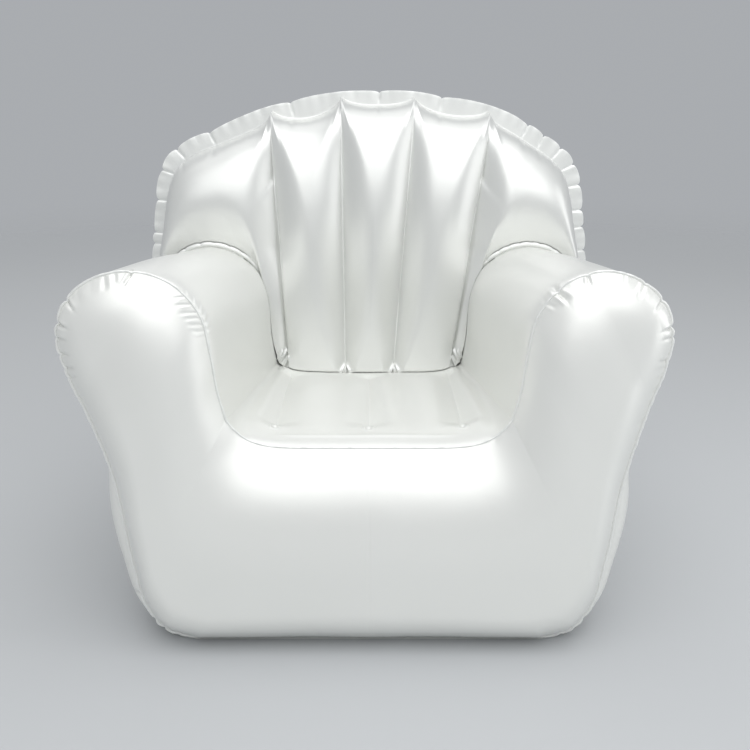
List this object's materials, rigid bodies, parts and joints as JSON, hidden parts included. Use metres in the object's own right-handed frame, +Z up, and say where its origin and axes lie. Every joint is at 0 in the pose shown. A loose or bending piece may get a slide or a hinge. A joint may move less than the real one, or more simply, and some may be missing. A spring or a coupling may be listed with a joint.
{
  "type": "inflatable armchair",
  "caption": "Inflatable armchair of welded pearl film: U-shaped seat and arm chamber, fan-channelled backrest chamber, and a push-in valve for each.",
  "frame": {"origin": "on the floor below the middle of the chair's bounding box", "axes": "+X to the right of someone looking at its front, +Y to its back, +Z up"},
  "size_m": [1.1102, 0.9214, 1.002],
  "materials": {
    "pearl_film": "pearl white, soft gloss",
    "base_film": "white, matt",
    "strip_film": "translucent white",
    "soft_pvc": "soft moulded, satin",
    "clear_pvc": "clear, glossy"
  },
  "bodies": {
    "chair": {"front_panel": "pearl_film", "left_arm_panel": "pearl_film", "right_arm_panel": "pearl_film", "seat_panel": "pearl_film", "backrest_front_panel": "pearl_film", "backrest_rear_panel": "pearl_film", "base_panel": "base_film", "back_rib_1": "strip_film", "back_rib_2": "strip_film", "back_rib_3": "strip_film", "back_rib_4": "strip_film", "seat_rib_1": "strip_film", "seat_rib_2": "strip_film", "seat_rib_3": "strip_film", "back_valve_base": "soft_pvc", "seat_valve_base": "soft_pvc"},
    "back_stem": {"back_valve_stem": "soft_pvc", "back_valve_tether": "soft_pvc"},
    "back_flap": {"back_valve_flap": "clear_pvc"},
    "back_plug": {"back_valve_plug": "soft_pvc"},
    "seat_stem": {"seat_valve_stem": "soft_pvc", "seat_valve_tether": "soft_pvc"},
    "seat_flap": {"seat_valve_flap": "clear_pvc"},
    "seat_plug": {"seat_valve_plug": "soft_pvc"}
  },
  "joints": [
    {"name": "back_stem_slide", "type": "slide", "parent": "chair", "child": "back_stem", "axis": [0.05, 0.9984, 0.0276], "range_m": [0, 0.015]},
    {"name": "back_plug_pull", "type": "slide", "parent": "back_stem", "child": "back_plug", "axis": [0.05, 0.9984, 0.0276], "range_m": [0, 0.012], "deforming": ["back_valve_tether"]},
    {"name": "back_flap_bend", "type": "hinge", "parent": "back_stem", "child": "back_flap", "pos_m": [0.30122, 0.43798, 0.22793], "axis": [0.0014, 0.0276, -0.9996], "range_deg": [0, 40]},
    {"name": "seat_stem_slide", "type": "slide", "parent": "chair", "child": "seat_stem", "axis": [0.983, 0.1689, -0.0721], "range_m": [0, 0.015]},
    {"name": "seat_plug_pull", "type": "slide", "parent": "seat_stem", "child": "seat_plug", "axis": [0.983, 0.1689, -0.0721], "range_m": [0, 0.012], "deforming": ["seat_valve_tether"]},
    {"name": "seat_flap_bend", "type": "hinge", "parent": "seat_stem", "child": "seat_flap", "pos_m": [0.46229, 0.07691, 0.25074], "axis": [-0.071, -0.0122, -0.9974], "range_deg": [0, 40]}
  ]
}
